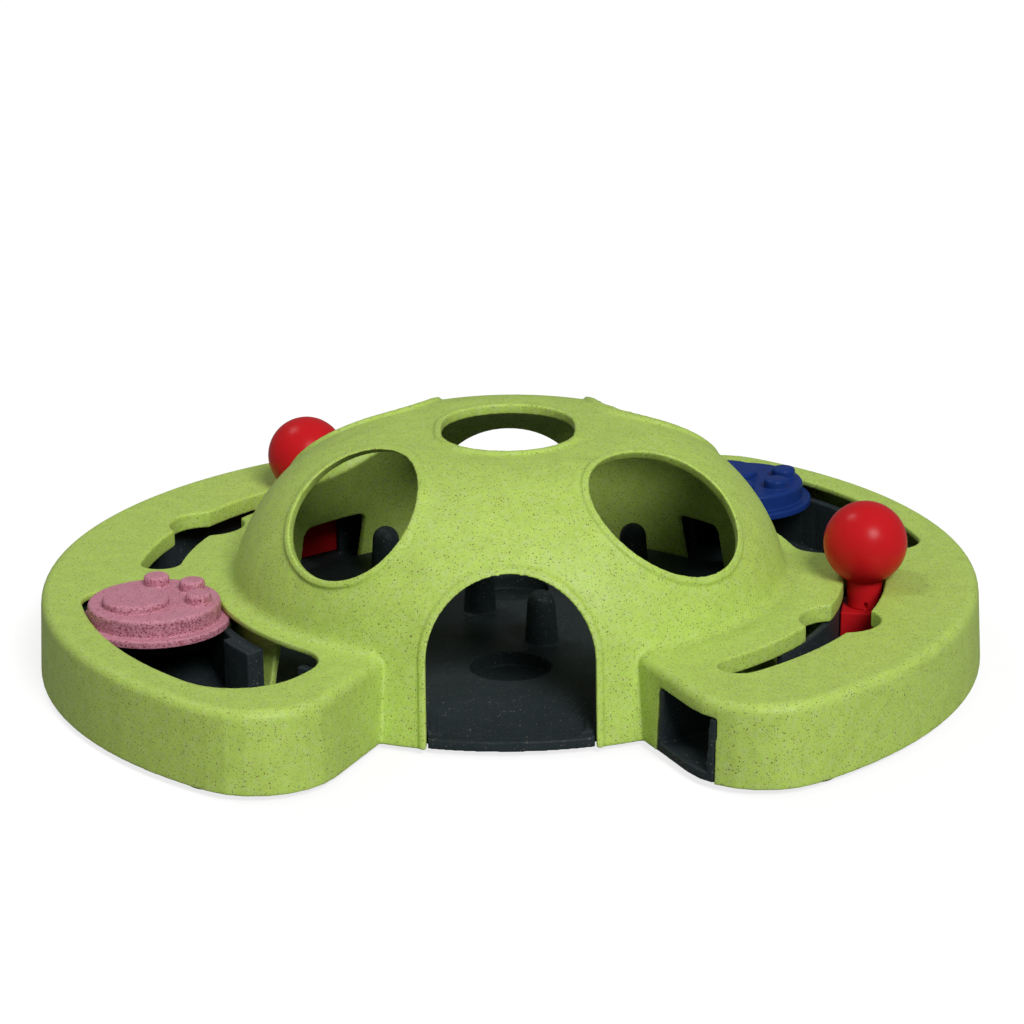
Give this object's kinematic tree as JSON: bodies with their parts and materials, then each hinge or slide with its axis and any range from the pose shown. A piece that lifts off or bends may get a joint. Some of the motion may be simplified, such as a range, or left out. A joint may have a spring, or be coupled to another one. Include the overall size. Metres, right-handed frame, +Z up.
{
  "type": "dog puzzle feeder",
  "caption": "Round dog puzzle feeder: a windowed dome between two ring arms with sliding paw lids and ball-knob levers that push treats out of tunnels.",
  "frame": {"origin": "centre of the feeder at the level its feet stand on", "axes": "+Z up, -Y out of the front door, +X towards the right arm with the blue lid"},
  "size_m": [0.29, 0.2436, 0.0725],
  "materials": {
    "shell_green": "speckled fine grain",
    "base_dark": "speckled fine grain",
    "lid_pink": "speckled fine grain",
    "lid_blue": "satin",
    "lever_red": "satin gloss",
    "foot_rubber": "matt",
    "screw_steel": "bright"
  },
  "bodies": {
    "housing": {"top_shell": "shell_green", "base_tray": "base_dark", "right_front_foot": "foot_rubber", "right_foot": "foot_rubber", "right_rear_foot": "foot_rubber", "left_rear_foot": "foot_rubber", "left_foot": "foot_rubber", "left_front_foot": "foot_rubber", "base_screws": "screw_steel"},
    "front_lid": {"pink_lid": "lid_pink"},
    "rear_lid": {"blue_lid": "lid_blue"},
    "right_lever": {"right_ball_knob": "lever_red", "right_pusher": "lever_red"},
    "left_lever": {"left_ball_knob": "lever_red", "left_pusher": "lever_red"}
  },
  "joints": [
    {"name": "front_lid_slide", "type": "hinge", "parent": "housing", "child": "front_lid", "pos_m": [0, 0, 0], "axis": [0, 0, 1], "range_deg": [0, 28.8]},
    {"name": "rear_lid_slide", "type": "hinge", "parent": "housing", "child": "rear_lid", "pos_m": [0, 0, 0], "axis": [0, 0, 1], "range_deg": [-28.8, 0]},
    {"name": "right_lever_slide", "type": "hinge", "parent": "housing", "child": "right_lever", "pos_m": [0, 0, 0], "axis": [0, 0, 1], "range_deg": [-46.5, 1.2]},
    {"name": "left_lever_slide", "type": "hinge", "parent": "housing", "child": "left_lever", "pos_m": [0, 0, 0], "axis": [0, 0, 1], "range_deg": [-1.1, 46.6]}
  ]
}
